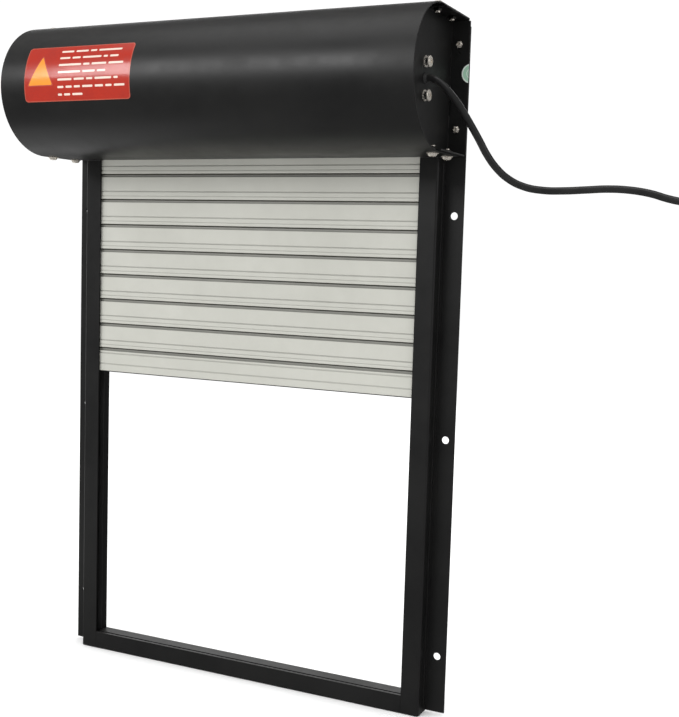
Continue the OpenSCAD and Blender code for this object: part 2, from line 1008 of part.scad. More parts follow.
left_rail();
right_rail();
left_rail_liner();
right_rail_liner();
sill_bar();
corner_keys();
left_end_plate();
right_end_plate();
back_plate();
cover_shell();
cover_screws();
cover_nuts();
flange_screws();
left_guide_mouth();
right_guide_mouth();
slat(1);  // slat_1
slat(2);  // slat_2
slat(3);  // slat_3
slat(4);  // slat_4
slat(5);  // slat_5
slat(6);  // slat_6
slat(7);  // slat_7
slat(8);  // slat_8
hidden_slats_group();  // hidden_slats
end_slat();
end_slat_seal();
end_slat_plugs();
slat_end_locks();
barrel_tube();
wound_slats();
roll_straps();
strap_rivets();
drive_wheel();
output_shaft();
limit_crown();
idler_cap();
idler_pin();
idler_bearing();
bearing_rivets();
motor_head();
motor_tube();
motor_gearbox();
motor_can();
motor_end_cap();
motor_washers();
motor_bushes();
motor_screws();
cable_grommet();
cable();
cable_plug();
wall_socket();
socket_screws();
notice_plate();
inspection_dot();
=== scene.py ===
import json
import math

import bmesh
import bpy
from mathutils import Matrix, Vector


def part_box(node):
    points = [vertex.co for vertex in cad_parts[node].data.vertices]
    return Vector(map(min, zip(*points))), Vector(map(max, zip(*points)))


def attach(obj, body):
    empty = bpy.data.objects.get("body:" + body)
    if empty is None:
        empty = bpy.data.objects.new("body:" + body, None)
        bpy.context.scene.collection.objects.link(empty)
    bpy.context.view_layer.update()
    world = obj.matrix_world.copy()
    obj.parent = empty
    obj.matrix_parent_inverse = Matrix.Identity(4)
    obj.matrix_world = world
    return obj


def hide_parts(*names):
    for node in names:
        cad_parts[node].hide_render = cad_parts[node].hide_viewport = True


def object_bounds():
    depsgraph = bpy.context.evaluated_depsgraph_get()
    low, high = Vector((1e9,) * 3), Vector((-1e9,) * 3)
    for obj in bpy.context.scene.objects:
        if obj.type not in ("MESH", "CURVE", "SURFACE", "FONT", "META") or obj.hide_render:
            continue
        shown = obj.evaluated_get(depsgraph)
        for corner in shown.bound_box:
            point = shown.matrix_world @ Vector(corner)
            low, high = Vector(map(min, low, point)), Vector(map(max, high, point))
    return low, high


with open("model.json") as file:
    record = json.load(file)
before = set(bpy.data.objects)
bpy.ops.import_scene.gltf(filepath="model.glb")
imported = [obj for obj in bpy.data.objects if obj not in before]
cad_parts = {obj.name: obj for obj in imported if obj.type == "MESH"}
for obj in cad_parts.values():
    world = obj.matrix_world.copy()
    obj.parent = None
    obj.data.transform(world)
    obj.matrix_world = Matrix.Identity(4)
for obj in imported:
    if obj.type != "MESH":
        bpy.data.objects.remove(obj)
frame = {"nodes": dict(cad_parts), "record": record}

# ---------- sizes, in metres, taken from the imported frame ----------

MM = 0.001
CAD_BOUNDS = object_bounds()
COVER_LOW, COVER_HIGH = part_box("cover_shell")
ROUND_R = (COVER_HIGH.z - COVER_LOW.z) / 2        # radius of the housing's round front
AXIS_Z = (COVER_HIGH.z + COVER_LOW.z) / 2
FLAT_Y = COVER_LOW.y + ROUND_R                    # where the round front starts
NODES = frame["nodes"]
NODE_SLOT = {part["node"]: part["material_slot"] for part in frame["record"]["subparts"]}
BODY_OF = {
    node: body
    for body, members in frame["record"]["behaviour"]["bodies"].items()
    for node in members
}


# ---------- camera and light ----------

CAMERA_PLACE = Vector((0.5233, -0.9176, 0.4012))
CAMERA_AZIMUTH = math.radians(25.4)
CAMERA_ELEVATION = math.radians(5.31)
CAMERA_ROLL = math.radians(1.74)
CAMERA_LENS = 60.28
CAMERA_SENSOR = 36.0
WORLD = 1.06
REFLECTED_WORLD = 0.2
FLOOR_SIZE = 60
SOFT_BOXES = (                                    # name, place, target, size, power
    ("front_left_box", (-0.78, -1.55, 1.22), (0, -0.1, 0.5), (1.05, 0.5), 11.5),
    ("overhead_box", (0.0, -0.35, 1.9), (0, -0.1, 0.5), (2.0, 1.1), 9.0),
    ("back_box", (-0.75, 1.8, 1.15), (0, 0, 0.4), (2.6, 0.9), 13.0),
    ("left_box", (-2.1, 0.5, 0.6), (0, 0, 0.3), (0.7, 1.3), 4.0),
    ("right_box", (1.7, -0.4, 0.9), (0.1, 0, 0.5), (0.35, 0.6), 2.8),
    ("floor_glow", (-0.75, 0.15, 0.004), (-0.75, 0.15, 1.0), (0.8, 0.9), 1.3),
)


def add_camera():
    """The camera looks back along its azimuth and elevation, tilted by its roll."""
    back = Vector((
        math.sin(CAMERA_AZIMUTH) * math.cos(CAMERA_ELEVATION),
        -math.cos(CAMERA_AZIMUTH) * math.cos(CAMERA_ELEVATION),
        math.sin(CAMERA_ELEVATION),
    ))
    right = Vector((0, 0, 1)).cross(back).normalized()
    up = back.cross(right)
    tilted_right = math.cos(CAMERA_ROLL) * right + math.sin(CAMERA_ROLL) * up
    tilted_up = back.cross(tilted_right)
    data = bpy.data.cameras.new("camera")
    data.sensor_fit = "HORIZONTAL"
    data.sensor_width = CAMERA_SENSOR
    data.lens = CAMERA_LENS
    camera = bpy.data.objects.new("camera", data)
    bpy.context.scene.collection.objects.link(camera)
    turn = Matrix((tilted_right, tilted_up, back)).transposed().to_4x4()
    camera.matrix_world = Matrix.Translation(CAMERA_PLACE) @ turn
    bpy.context.scene.camera = camera


def add_area_light(name, place, target, size, power, colour=(1, 1, 1)):
    data = bpy.data.lights.new(name, "AREA")
    data.shape = "RECTANGLE"
    data.size, data.size_y = size
    data.energy = power
    data.color = colour
    light = bpy.data.objects.new(name, data)
    bpy.context.scene.collection.objects.link(light)
    light.location = place
    light.rotation_euler = (Vector(target) - Vector(place)).to_track_quat("-Z", "Y").to_euler()
    light.visible_camera = False


def add_world():
    """White all round, but dim in reflections, so that gloss comes from the soft boxes."""
    world = bpy.data.worlds.new("studio")
    world.use_nodes = True
    world.cycles.sampling_method = "NONE"
    tree = world.node_tree
    background = tree.nodes["Background"]
    background.inputs["Color"].default_value = (1, 1, 1, 1)
    path = tree.nodes.new("ShaderNodeLightPath")
    dim = tree.nodes.new("ShaderNodeMath")
    dim.operation = "MULTIPLY_ADD"
    dim.inputs[1].default_value = REFLECTED_WORLD - WORLD
    dim.inputs[2].default_value = WORLD
    tree.links.new(path.outputs["Is Glossy Ray"], dim.inputs[0])
    tree.links.new(dim.outputs[0], background.inputs["Strength"])
    bpy.context.scene.world = world
    bpy.context.scene.view_settings.view_transform = "Standard"


def add_studio():
    """Pale floor, even white surroundings and soft boxes."""
    add_world()
    for name, place, target, size, power in SOFT_BOXES:
        add_area_light(name, place, target, size, power)
    bpy.ops.mesh.primitive_plane_add(
        size=FLOOR_SIZE, location=(0, 0, CAD_BOUNDS[0][2] - 0.5 * MM)
    )
    floor = bpy.context.object
    floor.name = "floor"
    floor.visible_glossy = False
    material = bpy.data.materials.new("pale_floor")
    material.use_nodes = True
    surface = material.node_tree.nodes["Principled BSDF"]
    surface.inputs["Base Color"].default_value = (0.96, 0.96, 0.96, 1)
    surface.inputs["Roughness"].default_value = 0.9
    surface.inputs["Specular IOR Level"].default_value = 0.0
    floor.data.materials.append(material)


# ---------- mesh helpers ----------

def deselect_all():
    if bpy.context.object and bpy.context.object.mode != "OBJECT":
        bpy.ops.object.mode_set(mode="OBJECT")
    bpy.ops.object.select_all(action="DESELECT")


def pick(piece):
    """Selects one piece alone and makes it the active one."""
    deselect_all()
    piece.select_set(True)
    bpy.context.view_layer.objects.active = piece


def apply_modifier(piece, kind, **settings):
    pick(piece)
    modifier = piece.modifiers.new(kind.lower(), kind)
    for key, value in settings.items():
        setattr(modifier, key, value)
    bpy.ops.object.modifier_apply(modifier=modifier.name)


def settle(piece):
    """Moves a piece's place into its mesh, so that its object sits at the origin."""
    pick(piece)
    bpy.ops.object.transform_apply(location=True, rotation=True, scale=True)


def smooth(piece, angle=32):
    """Smooth faces up to that angle, with flat faces kept flat beside their rounded edges."""
    pick(piece)
    bpy.ops.object.shade_smooth_by_angle(angle=math.radians(angle))
    apply_modifier(piece, "WEIGHTED_NORMAL", keep_sharp=True, weight=60)


def merge_copy(node, name):
    """A copy of a CAD node's mesh with its doubles merged and its flat faces joined."""
    piece = bpy.data.objects.new(name, NODES[node].data.copy())
    bpy.context.scene.collection.objects.link(piece)
    piece.data.materials.clear()
    pick(piece)
    bpy.ops.object.mode_set(mode="EDIT")
    bpy.ops.mesh.select_all(action="SELECT")
    bpy.ops.mesh.remove_doubles(threshold=0.004 * MM)
    bpy.ops.mesh.dissolve_limited(angle_limit=math.radians(0.6))
    bpy.ops.mesh.select_all(action="SELECT")
    bpy.ops.mesh.normals_make_consistent(inside=False)
    bpy.ops.object.mode_set(mode="OBJECT")
    return piece


def place_piece(piece, node, material):
    """The piece stands for a CAD node: same body, its own material."""
    piece.data.materials.clear()
    piece.data.materials.append(material)
    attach(piece, BODY_OF[node])
    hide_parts(node)
    return piece


def round_edges(piece, width, angle=35, segments=2):
    apply_modifier(
        piece, "BEVEL", width=width, segments=segments, limit_method="ANGLE",
        angle_limit=math.radians(angle), use_clamp_overlap=False, miter_outer="MITER_ARC",
    )


def finish_node(node, material, width, angle=35, segments=2):
    """A CAD node finished with rounded edges."""
    piece = merge_copy(node, node + "_finished")
    round_edges(piece, width, angle, segments)
    smooth(piece)
    return place_piece(piece, node, material)


def paint_faces(piece, material, wanted):
    """Gives another material to the faces for which wanted(centre, normal) is true."""
    piece.data.materials.append(material)
    pick(piece)
    bpy.ops.object.mode_set(mode="EDIT")
    bpy.ops.mesh.select_all(action="DESELECT")
    mesh = bmesh.from_edit_mesh(piece.data)
    for face in mesh.faces:
        face.select_set(wanted(face.calc_center_median(), face.normal))
    piece.active_material_index = len(piece.data.materials) - 1
    bpy.ops.object.material_slot_assign()
    bpy.ops.object.mode_set(mode="OBJECT")


SLAT_PITCH = 24 * MM
END_SLAT_H = 23 * MM
JOINT_GAP = 1.1 * MM
JOINT_SET = 2.2 * MM                              # painted shade and grime start this far behind the front
JOINT_FOOT = 4.5 * MM                             # and reach this far up from the bottom edge
LEDGE_H = 2.2 * MM
STEP_BACK = 0.9 * MM                              # behind this a front face is the ledge
GROOVE_BACK = 0.34 * MM                           # behind this it is a groove
PLAY = 0.05 * MM                                  # slack when faces are picked by height


def shade_slat(piece, node):
    """Painted shade with grime inside the joints, and painted shade on the ledges and in the
    grooves.
    """
    low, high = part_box(node)
    front = low.y
    tall = END_SLAT_H if node == "end_slat" else SLAT_PITCH
    top = tall - JOINT_GAP
    count = max(1, round((high.z - low.z - 4 * MM) / SLAT_PITCH))

    def level(centre):
        """Height above the bottom edge of the slat that the face belongs to."""
        height = centre.z - low.z
        return height - SLAT_PITCH * min(count - 1, math.floor(height / SLAT_PITCH + 0.0001))

    def in_joint(centre, normal):
        height = level(centre)
        return (height > top - PLAY or height < JOINT_FOOT) and centre.y > front + JOINT_SET

    def on_ledge(centre, normal):
        if centre.y > front + JOINT_SET + 0.3 * MM:
            return False
        ledge = top - LEDGE_H - PLAY < level(centre) < top + PLAY
        return ledge and centre.y > front + STEP_BACK

    def in_groove(centre, normal):
        return (front + GROOVE_BACK < centre.y < front + STEP_BACK
                and abs(normal.x) < 0.5 and level(centre) > 1.5 * MM)

    # painted shade with grime: the joint faces get a dark grey
    paint_faces(piece, MATERIALS["joint_shade_and_grime"], in_joint)
    # painted shade: the ledges get a darker copy of the slat paint
    paint_faces(piece, MATERIALS["ledge_shade"], on_ledge)
    # painted shade: the grooves get a darker copy of the slat paint
    paint_faces(piece, MATERIALS["groove_shade"], in_groove)


# ---------- materials ----------

def new_group(name, inputs, outputs):
    """An empty shader group with named inputs (name, kind, value) and outputs (name, kind)."""
    group = bpy.data.node_groups.new(name, "ShaderNodeTree")
    for label, kind, value in inputs:
        socket = group.interface.new_socket(label, in_out="INPUT", socket_type=kind)
        if value is not None:
            socket.default_value = value
    for label, kind in outputs:
        group.interface.new_socket(label, in_out="OUTPUT", socket_type=kind)
    source = group.nodes.new("NodeGroupInput")
    sink = group.nodes.new("NodeGroupOutput")
    return group, source, sink


def add_math(tree, operation, a, b=None, clamp=False):
    node = tree.nodes.new("ShaderNodeMath")
    node.operation = operation
    node.use_clamp = clamp
    for index, value in enumerate((a, b)):
        if value is None:
            continue
        if isinstance(value, (int, float)):
            node.inputs[index].default_value = value
        else:
            tree.links.new(value, node.inputs[index])
    return node.outputs[0]


def add_noise(tree, vector, scale, detail=3.0, roughness=0.5):
    node = tree.nodes.new("ShaderNodeTexNoise")
    node.inputs["Detail"].default_value = detail
    node.inputs["Roughness"].default_value = roughness
    tree.links.new(vector, node.inputs["Vector"])
    if isinstance(scale, (int, float)):
        node.inputs["Scale"].default_value = scale
    else:
        tree.links.new(scale, node.inputs["Scale"])
    return node.outputs["Fac"]


def add_range(tree, value, low, high, to_low=0.0, to_high=1.0):
    node = tree.nodes.new("ShaderNodeMapRange")
    tree.links.new(value, node.inputs["Value"])
    for label, number in (
        ("From Min", low), ("From Max", high), ("To Min", to_low), ("To Max", to_high)
    ):
        if isinstance(number, (int, float)):
            node.inputs[label].default_value = number
        else:
            tree.links.new(number, node.inputs[label])
    return node.outputs["Result"]


def add_mix(tree, factor, a, b):
    node = tree.nodes.new("ShaderNodeMix")
    node.data_type = "RGBA"
    tree.links.new(factor, node.inputs["Factor"])
    for socket, value in ((node.inputs[6], a), (node.inputs[7], b)):
        if isinstance(value, tuple):
            socket.default_value = (*value, 1)
        else:
            tree.links.new(value, socket)
    return node.outputs[2]


def grain_group():
    """Fine even grain, as on powder coat or moulded plastic."""
    group, source, sink = new_group(
        "fine_grain",
        [("Vector", "NodeSocketVector", None), ("Scale", "NodeSocketFloat", 1500.0)],
        [("Height", "NodeSocketFloat")],
    )
    fine = add_noise(group, source.outputs["Vector"], source.outputs["Scale"], 2.0, 0.6)
    group.links.new(fine, sink.inputs["Height"])
    return group


def lines_group():
    """Long fine lines along one direction, as rolling or extruding leaves."""
    group, source, sink = new_group(
        "drawn_lines",
        [("Vector", "NodeSocketVector", None), ("Stretch", "NodeSocketVector", (1.0, 1.0, 1.0)),
         ("Scale", "NodeSocketFloat", 10.0)],
        [("Height", "NodeSocketFloat")],
    )
    scaled = group.nodes.new("ShaderNodeVectorMath")
    scaled.operation = "MULTIPLY"
    group.links.new(source.outputs["Vector"], scaled.inputs[0])
    group.links.new(source.outputs["Stretch"], scaled.inputs[1])
    lines = add_noise(group, scaled.outputs[0], source.outputs["Scale"], 4.0, 0.65)
    group.links.new(lines, sink.inputs["Height"])
    return group


def handling_group():
    """Soft patches where hands and cloths have changed the gloss."""
    group, source, sink = new_group(
        "handling_marks",
        [("Vector", "NodeSocketVector", None), ("Scale", "NodeSocketFloat", 14.0)],
        [("Mask", "NodeSocketFloat")],
    )
    broad = add_noise(group, source.outputs["Vector"], source.outputs["Scale"], 3.0, 0.55)
    small = add_noise(
        group, source.outputs["Vector"],
        add_math(group, "MULTIPLY", source.outputs["Scale"], 7.0), 3.0, 0.6,
    )
    mixed = add_math(group, "ADD", add_math(group, "MULTIPLY", broad, 0.7),
                     add_math(group, "MULTIPLY", small, 0.3))
    group.links.new(add_range(group, mixed, 0.35, 0.65), sink.inputs["Mask"])
    return group


def dust_group():
    """Thin dust on faces that look up."""
    group, source, sink = new_group(
        "settled_dust",
        [("Vector", "NodeSocketVector", None), ("Amount", "NodeSocketFloat", 0.1)],
        [("Mask", "NodeSocketFloat")],
    )
    geometry = group.nodes.new("ShaderNodeNewGeometry")
    split = group.nodes.new("ShaderNodeSeparateXYZ")
    group.links.new(geometry.outputs["Normal"], split.inputs[0])
    facing = add_range(group, split.outputs["Z"], 0.35, 1.0)
    specks = add_noise(group, source.outputs["Vector"], 220.0, 5.0, 0.7)
    speckle = add_range(group, specks, 0.35, 0.75)
    mask = add_math(group, "MULTIPLY", add_math(group, "MULTIPLY", facing, speckle),
                    source.outputs["Amount"])
    group.links.new(mask, sink.inputs["Mask"])
    return group


GROUPS = {
    "grain": grain_group(), "lines": lines_group(),
    "handling": handling_group(), "dust": dust_group(),
}
DUST_COLOUR = (0.16, 0.15, 0.135)


class Finish:
    """A material with the shared effects wired in, each with its own values."""

    def __init__(self, name, colour, roughness, metallic=0.0, **sockets):
        self.material = bpy.data.materials.new(name)
        self.material.use_nodes = True
        self.tree = self.material.node_tree
        self.surface = self.tree.nodes["Principled BSDF"]
        self.surface.inputs["Metallic"].default_value = metallic
        for label, value in sockets.items():
            self.surface.inputs[label.replace("_", " ")].default_value = value
        self.place = self.tree.nodes.new("ShaderNodeTexCoord").outputs["Object"]
        self.colour = colour
        self.roughness = roughness
        self.height = None

    def effect(self, kind, output, **values):
        node = self.tree.nodes.new("ShaderNodeGroup")
        node.node_tree = GROUPS[kind]
        self.tree.links.new(self.place, node.inputs["Vector"])
        for label, value in values.items():
            node.inputs[label].default_value = value
        return node.outputs[output]

    def add_bump(self, height, strength, distance):
        bump = self.tree.nodes.new("ShaderNodeBump")
        bump.inputs["Strength"].default_value = strength
        bump.inputs["Distance"].default_value = distance
        self.tree.links.new(height, bump.inputs["Height"])
        if self.height is not None:
            self.tree.links.new(self.height, bump.inputs["Normal"])
        self.height = bump.outputs["Normal"]

    def finish(self, tint, mask_scale=14.0, gloss_change=0.1, dust=0.0):
        """Wires colour, roughness and bump into the surface."""
        marks = self.effect("handling", "Mask", Scale=mask_scale)
        colour = add_mix(self.tree, marks, self.colour, tint)
        rough = add_range(
            self.tree, marks, 0.0, 1.0, self.roughness - gloss_change / 2,
            self.roughness + gloss_change / 2,
        )
        if dust:
            settled = self.effect("dust", "Mask", Amount=dust)
            colour = add_mix(self.tree, settled, colour, DUST_COLOUR)
            rough = add_math(self.tree, "ADD", rough, settled, clamp=True)
        self.tree.links.new(colour, self.surface.inputs["Base Color"])
        self.tree.links.new(rough, self.surface.inputs["Roughness"])
        if self.height is not None:
            self.tree.links.new(self.height, self.surface.inputs["Normal"])
        return self.material


def coat_material(
    name, colour, tint, roughness, grain, stretch=None, dust=0.12, specular=0.45
):
    """Powder coat: an even fine texture, with drawn lines below it on extrusions."""
    made = Finish(name, colour, roughness, Specular_IOR_Level=specular)
    if stretch:
        made.add_bump(made.effect("lines", "Height", Stretch=stretch, Scale=9.0), 0.25, 0.05 * MM)
    made.add_bump(made.effect("grain", "Height", Scale=grain), 0.35, 0.06 * MM)
    return made.finish(tint, gloss_change=0.12, dust=dust)


def slat_material(name, colour, tint):
    """Light satin coating on roll-formed aluminium, with long faint lines."""
    made = Finish(name, colour, 0.42, metallic=0.1)
    made.add_bump(
        made.effect("lines", "Height", Stretch=(1.5, 60.0, 60.0), Scale=8.0), 0.35, 0.08 * MM
    )
    made.add_bump(made.effect("grain", "Height", Scale=2200.0), 0.12, 0.03 * MM)
    return made.finish(tint, mask_scale=9.0, gloss_change=0.12, dust=0.03)


def steel_material(name, colour, tint, roughness, stretch=(1, 1, 1), metallic=1.0):
    made = Finish(name, colour, roughness, metallic=metallic)
    made.add_bump(made.effect("lines", "Height", Stretch=stretch, Scale=260.0), 0.2, 0.03 * MM)
    return made.finish(tint, mask_scale=90.0, gloss_change=0.16)


def plastic_material(name, colour, tint, roughness, grain=2600.0):
    made = Finish(name, colour, roughness)
    made.add_bump(made.effect("grain", "Height", Scale=grain), 0.2, 0.03 * MM)
    return made.finish(tint, mask_scale=30.0, gloss_change=0.1, dust=0.06)


def felt_material():
    made = Finish("felt_pile", (0.006, 0.006, 0.006), 0.95, Sheen_Weight=0.04)
    pile = made.effect("lines", "Height", Stretch=(1, 1, 0.35), Scale=1400.0)
    made.add_bump(pile, 0.9, 0.3 * MM)
    return made.finish((0.012, 0.012, 0.012), mask_scale=60.0, gloss_change=0.05)


def film_material(name, colour, tint, roughness=0.22):
    """Glossy printed film."""
    made = Finish(name, colour, roughness, Coat_Weight=0.4, Coat_Roughness=0.12)
    made.add_bump(made.effect("grain", "Height", Scale=900.0), 0.06, 0.03 * MM)
    return made.finish(tint, mask_scale=40.0, gloss_change=0.1)


UPRIGHT = (60.0, 60.0, 1.5)
ALONG = (1.5, 60.0, 60.0)
BLACK, BLACK_WORN = (0.0055, 0.0055, 0.0056), (0.0085, 0.0084, 0.0080)
MATERIALS = {
    "cover_black": coat_material("cover_powder_black", BLACK, BLACK_WORN, 0.40, 1500.0),
    "plate_black": coat_material("plate_powder_black", BLACK, BLACK_WORN, 0.44, 1700.0),
    "rail_black": coat_material("rail_powder_black", BLACK, BLACK_WORN, 0.42, 1900.0, UPRIGHT),
    # painted shade: a darker, less glossy copy of the rail black for the faces towards the opening
    "rail_inner_shade": coat_material(
        "rail_slot_painted_shade", (0.003, 0.003, 0.003), (0.004, 0.004, 0.004), 0.55, 1900.0, UPRIGHT,
        specular=0.2,
    ),
    "sill_black": coat_material("sill_powder_black", BLACK, BLACK_WORN, 0.42, 1900.0, ALONG),
    "slat_grey": slat_material("slat_satin_grey", (0.458, 0.458, 0.414), (0.498, 0.498, 0.452)),
    # painted shade: a darker copy of the slat paint for the ledges
    "ledge_shade": slat_material("slat_ledge_dull", (0.21, 0.21, 0.19), (0.25, 0.25, 0.225)),
    # painted shade: a darker copy of the slat paint for the grooves
    "groove_shade": slat_material("slat_groove_dull", (0.35, 0.35, 0.315), (0.39, 0.39, 0.355)),
    # painted shade with grime: a dark grey for the slats' joint faces
    "joint_shade_and_grime": plastic_material(
        "joint_shadow_grime", (0.050, 0.048, 0.036), (0.065, 0.062, 0.048), 0.8
    ),
    "dark_nut": steel_material("dark_oxide_nut", (0.05, 0.05, 0.048), (0.09, 0.088, 0.08), 0.34),
    "fastener_steel": steel_material(
        "bright_zinc", (0.98, 0.92, 0.83), (0.82, 0.76, 0.68), 0.27, metallic=0.8
    ),
    "zinc_steel": steel_material(
        "zinc_tube", (0.58, 0.60, 0.61), (0.50, 0.52, 0.54), 0.38, (0.1, 1, 1)
    ),
    "felt": felt_material(),
    "grey_plastic": plastic_material(
        "dark_grey_moulding", (0.10, 0.10, 0.10), (0.13, 0.13, 0.13), 0.5
    ),
    "black_plastic": plastic_material(
        "black_moulding", (0.018, 0.018, 0.018), (0.026, 0.026, 0.026), 0.42
    ),
    "black_rubber": plastic_material(
        "black_rubber", (0.012, 0.012, 0.012), (0.02, 0.02, 0.02), 0.6, 1200.0
    ),
    "cable_black": plastic_material(
        "cable_sheath", (0.010, 0.010, 0.010), (0.016, 0.016, 0.016), 0.34, 1800.0
    ),
    "notice_red": film_material("notice_red_film", (0.36, 0.022, 0.010), (0.31, 0.017, 0.008)),
    "notice_orange": film_material("notice_orange_print", (0.80, 0.27, 0.025), (0.74, 0.23, 0.02)),
    "notice_pale": film_material("notice_pale_print", (0.70, 0.58, 0.50), (0.64, 0.52, 0.44)),
    "notice_edge": film_material("notice_edge_print", (0.40, 0.075, 0.045), (0.36, 0.06, 0.038)),
    "dot_green": film_material("dot_green_film", (0.42, 0.66, 0.50), (0.36, 0.60, 0.45)),
    "dot_pale": film_material("dot_pale_ring", (0.78, 0.84, 0.78), (0.72, 0.80, 0.73)),
}


# ---------- cable ----------

ROUTE_MM = [
    (186.5, -61, 541), (189, -61, 541), (193, -61, 539.5), (198, -60, 536), (204, -59, 530),
    (210, -57, 522.5), (216, -55, 513.5), (222, -53, 503.5), (228, -51, 493), (234, -49, 482),
    (241, -46, 472), (250, -42, 463.5), (262, -38, 457.5), (276, -33, 455), (292, -28, 455),
    (308, -24, 456), (324, -20, 457), (340, -16, 456.5), (356, -14, 454), (370, -13, 450),
    (380, -13, 448), (388, -13, 447), (394, -13, 447),
]
CABLE_D = 6 * MM


def add_cable():
    """The cable along its route."""
    route = [Vector(point) * MM for point in ROUTE_MM]
    length = sum((b - a).length for a, b in zip(route, route[1:]))
    data = bpy.data.curves.new("motor_cable", "CURVE")
    data.dimensions = "3D"
    data.bevel_depth = CABLE_D / 2
    data.bevel_resolution = 6
    data.resolution_u = 6
    data.use_fill_caps = True
    spline = data.splines.new("BEZIER")
    spline.bezier_points.add(len(route) - 1)
    for point, place in zip(spline.bezier_points, route):
        point.co = place
        point.handle_left_type = point.handle_right_type = "AUTO"
    cable = bpy.data.objects.new("motor_cable", data)
    bpy.context.scene.collection.objects.link(cable)
    data.materials.append(MATERIALS["cable_black"])
    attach(cable, "frame")
    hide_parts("cable")
    return cable, route[0], length


# ---------- turned pieces ----------

def turned(name, place, axis, steps, sides=40):
    """A closed turned piece: a circle extruded along axis through (distance, radius) steps."""
    turn = Vector((0, 0, 1)).rotation_difference(Vector(axis)).to_euler()
    bpy.ops.mesh.primitive_circle_add(
        vertices=sides, radius=steps[0][1], fill_type="NGON", location=place, rotation=turn
    )
    piece = bpy.context.object
    piece.name = name
    bpy.ops.object.mode_set(mode="EDIT")
    along, radius = steps[0]
    for distance, next_radius in steps[1:]:
        bpy.ops.mesh.extrude_region_move(
            TRANSFORM_OT_translate={"value": tuple(Vector(axis) * (distance - along))}
        )
        ratio = next_radius / radius
        bpy.ops.transform.resize(value=(ratio, ratio, ratio))
        along, radius = distance, next_radius
    bpy.ops.mesh.select_all(action="SELECT")
    bpy.ops.mesh.normals_make_consistent(inside=False)
    bpy.ops.object.mode_set(mode="OBJECT")
    settle(piece)
    return piece


def cut_cross(piece, tips, reach, depth, width):
    """Cuts a cross recess into screw heads. tips are (place, axis) of the heads' tops."""
    for place, axis in tips:
        place, axis = Vector(place), Vector(axis)
        side = axis.orthogonal().normalized()
        for direction in (side, axis.cross(side)):
            bpy.ops.mesh.primitive_cube_add(size=1, location=place)
            cutter = bpy.context.object
            other = axis.cross(direction)
            cutter.matrix_world = Matrix.Translation(place) @ Matrix((
                direction * reach, other * width, axis * depth
            )).transposed().to_4x4()
            settle(cutter)
            apply_modifier(piece, "BOOLEAN", operation="DIFFERENCE", object=cutter, solver="EXACT")
            bpy.data.objects.remove(cutter)


def join(pieces, name):
    deselect_all()
    for piece in pieces:
        piece.select_set(True)
    bpy.context.view_layer.objects.active = pieces[0]
    bpy.ops.object.join()
    pieces[0].name = name
    return pieces[0]


# ---------- fasteners ----------

SCREW_X = 191 * MM
SCREW_Y = (-56 * MM, -23 * MM)
HEAD_H = COVER_LOW.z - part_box("cover_screws")[0].z   # height of a cover screw's head
MOTOR_SCREW_DZ = 13.3 * MM
HEX_R = 3 * MM                                    # a flange screw's head, to its corners
HEX_FLAT = math.cos(math.radians(30))
SOCKET_R = 1.35 * MM
SOCKET_DEPTH = 1.3 * MM
STAR_R = 5.0 * MM
STAR_T = 0.5 * MM
STAR_TEETH = 12
STAR_ROOT = 0.8


def add_cover_screws():
    piece = merge_copy("cover_screws", "cover_screws_finished")
    tips = [
        ((side * SCREW_X, y, z), (0, 0, up))
        for side in (-1, 1) for y in SCREW_Y
        for z, up in ((COVER_LOW.z - HEAD_H, -1), (COVER_HIGH.z + HEAD_H, 1))
    ]
    cut_cross(piece, tips, 4.4 * MM, 2.2 * MM, 0.9 * MM)
    smooth(piece, 28)
    place_piece(piece, "cover_screws", MATERIALS["fastener_steel"])


def add_flange_screws():
    """Hexagonal heads with a hexagonal socket in each."""
    low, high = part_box("flange_screws")
    piece = merge_copy("flange_screws", "flange_screws_finished")
    for side in (-1, 1):
        for z in (low.z + HEX_R * HEX_FLAT, high.z - HEX_R * HEX_FLAT):
            bpy.ops.mesh.primitive_cylinder_add(
                vertices=6, radius=SOCKET_R, depth=2 * SOCKET_DEPTH,
                location=(side * SCREW_X, low.y, z), rotation=(math.pi / 2, 0, 0),
            )
            cutter = bpy.context.object
            settle(cutter)
            apply_modifier(piece, "BOOLEAN", operation="DIFFERENCE", object=cutter, solver="EXACT")
            bpy.data.objects.remove(cutter)
    round_edges(piece, 0.12 * MM, 40, 1)
    smooth(piece, 28)
    place_piece(piece, "flange_screws", MATERIALS["fastener_steel"])


def add_motor_screws():
    low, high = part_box("motor_screws")
    axis_y = (low.y + high.y) / 2
    piece = merge_copy("motor_screws", "motor_screws_finished")
    tips = [((high.x, axis_y, AXIS_Z + s * MOTOR_SCREW_DZ), (1, 0, 0)) for s in (-1, 1)]
    cut_cross(piece, tips, 5.0 * MM, 2.2 * MM, 1.0 * MM)
    smooth(piece, 28)
    place_piece(piece, "motor_screws", MATERIALS["fastener_steel"])


def star_washer(place):
    """A toothed lock washer: every other pair of its rim's corners stands in."""
    bpy.ops.mesh.primitive_cylinder_add(
        vertices=4 * STAR_TEETH, radius=STAR_R, depth=STAR_T, location=place
    )
    washer = bpy.context.object
    settle(washer)
    bpy.ops.object.mode_set(mode="EDIT")
    bpy.ops.mesh.select_all(action="DESELECT")
    mesh = bmesh.from_edit_mesh(washer.data)
    for vertex in mesh.verts:
        turn = math.atan2(vertex.co.y - place[1], vertex.co.x - place[0]) / (2 * math.pi)
        vertex.select_set(round(turn * 4 * STAR_TEETH) % 4 < 2)
    mesh.select_flush(True)
    bpy.ops.transform.resize(
        value=(STAR_ROOT, STAR_ROOT, 1), center_override=tuple(place)
    )
    bpy.ops.object.mode_set(mode="OBJECT")
    apply_modifier(washer, "BEVEL", width=0.08 * MM, segments=1, limit_method="ANGLE",
                   angle_limit=math.radians(40))
    return washer


